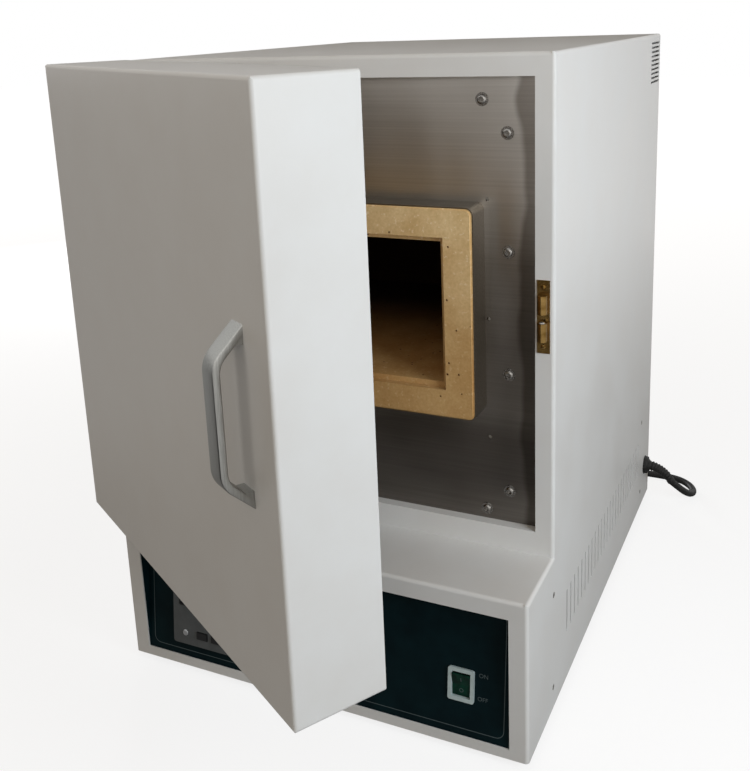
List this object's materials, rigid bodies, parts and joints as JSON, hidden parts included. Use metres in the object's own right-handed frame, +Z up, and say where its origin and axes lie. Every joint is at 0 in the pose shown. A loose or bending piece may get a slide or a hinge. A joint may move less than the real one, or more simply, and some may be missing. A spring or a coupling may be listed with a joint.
{
  "type": "benchtop muffle furnace",
  "caption": "Benchtop muffle furnace with an L-shaped sheet-steel case, a deep insulated side-hinged door on a ball catch, a ribbon-wound refractory chamber and controls in its foot.",
  "frame": {"origin": "middle of the case's footprint on the surface that the feet stand on", "axes": "+X to the user's right, +Y from the door to the back, +Z up; the door is shown ajar"},
  "size_m": [0.5464, 0.959, 0.6335],
  "materials": {
    "case_paint": "light grey-white powder coat on folded sheet steel, satin with a soft sheen",
    "door_paint": "the same light grey powder coat on the door",
    "zinc_sheet": "zinc-plated sheet, dull",
    "stainless": "bright rolled stainless sheet, mirror-like and slightly heat-tinted",
    "screw_steel": "plated screw heads",
    "rubber": "black rubber, matt",
    "refractory": "tan fired refractory, grainy with small pits",
    "fibre": "white ceramic fibre board, soft and matt",
    "heating_alloy": "oxidised resistance ribbon, dull brown-grey",
    "porcelain": "glazed white ceramic",
    "membrane": "very dark green-black printed membrane with a silver line near its edge",
    "controller_grey": "fine-grained grey moulded plastic",
    "display_lens": "smoked display window",
    "key_silver": "bright silver button",
    "key_black": "black button",
    "switch_grey": "pale grey moulded bezel",
    "rocker_green": "translucent green rocker",
    "aluminium": "extruded aluminium",
    "brass": "satin brass",
    "hinge_steel": "satin plated hinge steel",
    "handle_metal": "satin anodised flat bar",
    "cord_black": "black rubber cord and moulded plug"
  },
  "bodies": {
    "case": {"left_side_panel": "case_paint", "right_side_panel": "case_paint", "top_cover": "case_paint", "rear_cover": "case_paint", "base_plate": "zinc_sheet", "deck_plate": "zinc_sheet", "front_frame": "case_paint", "control_box_front": "case_paint", "rubber_feet": "rubber", "foot_screws": "screw_steel", "case_screws": "screw_steel", "chamber_front_panel": "stainless", "muffle_collar": "stainless", "panel_bolts": "screw_steel", "muffle": "refractory", "heating_coil": "heating_alloy", "coil_leads": "heating_alloy", "lead_bushings": "porcelain", "inner_casing": "zinc_sheet", "insulation_boards": "fibre", "insulation_rear": "fibre", "thermocouple": "porcelain", "thermocouple_head": "aluminium", "control_panel": "membrane", "temperature_controller": "controller_grey", "controller_display": "display_lens", "power_switch_bezel": "switch_grey", "solid_state_relay": "switch_grey", "heat_sink": "aluminium", "terminal_block": "porcelain", "earth_stud": "brass", "catch_housing": "brass", "catch_screws": "brass", "catch_spring_upper": "screw_steel", "catch_spring_lower": "screw_steel", "hinge_frame_leaves": "hinge_steel", "hinge_pins": "hinge_steel", "hinge_frame_screws": "screw_steel", "cable_boot": "cord_black", "power_cord": "cord_black", "cord_coil": "cord_black", "plug_body": "cord_black", "plug_pins": "brass"},
    "door": {"door_shell": "door_paint", "door_liner": "stainless", "door_insulation": "fibre", "door_plug": "refractory", "door_handle": "handle_metal", "handle_screws": "screw_steel", "catch_strike": "brass", "hinge_door_leaves": "hinge_steel", "hinge_door_screws": "screw_steel"},
    "catch_ball_lower": {"catch_ball_lower": "screw_steel"},
    "catch_ball_upper": {"catch_ball_upper": "screw_steel"},
    "key_down": {"key_down": "key_black"},
    "key_menu": {"key_menu": "key_silver"},
    "key_shift": {"key_shift": "key_black"},
    "key_up": {"key_up": "key_black"},
    "power_switch_rocker": {"power_switch_rocker": "rocker_green"}
  },
  "joints": [
    {"name": "door_hinge", "type": "hinge", "parent": "case", "child": "door", "pos_m": [-0.2295, -0.2045, 0.4], "axis": [0, 0, -1], "range_deg": [-30.75, 90]},
    {"name": "power_switch", "type": "hinge", "parent": "case", "child": "power_switch_rocker", "pos_m": [0.154, -0.27506, 0.06734], "axis": [1, 0, 0], "range_deg": [-20, 0]},
    {"name": "key_menu_press", "type": "slide", "parent": "case", "child": "key_menu", "axis": [0, 0.9936, -0.1132], "range_m": [0, 0.0008], "stiffness_N_per_m": 500},
    {"name": "key_shift_press", "type": "slide", "parent": "case", "child": "key_shift", "axis": [0, 0.9936, -0.1132], "range_m": [0, 0.0008], "stiffness_N_per_m": 500},
    {"name": "key_down_press", "type": "slide", "parent": "case", "child": "key_down", "axis": [0, 0.9936, -0.1132], "range_m": [0, 0.0008], "stiffness_N_per_m": 500},
    {"name": "key_up_press", "type": "slide", "parent": "case", "child": "key_up", "axis": [0, 0.9936, -0.1132], "range_m": [0, 0.0008], "stiffness_N_per_m": 500},
    {"name": "catch_ball_upper_slide", "type": "slide", "parent": "case", "child": "catch_ball_upper", "axis": [0, 0, 1], "range_m": [0, 0.0015], "stiffness_N_per_m": 2000, "deforming": ["catch_spring_upper"]},
    {"name": "catch_ball_lower_slide", "type": "slide", "parent": "case", "child": "catch_ball_lower", "axis": [0, 0, -1], "range_m": [0, 0.0015], "stiffness_N_per_m": 2000, "deforming": ["catch_spring_lower"]}
  ]
}
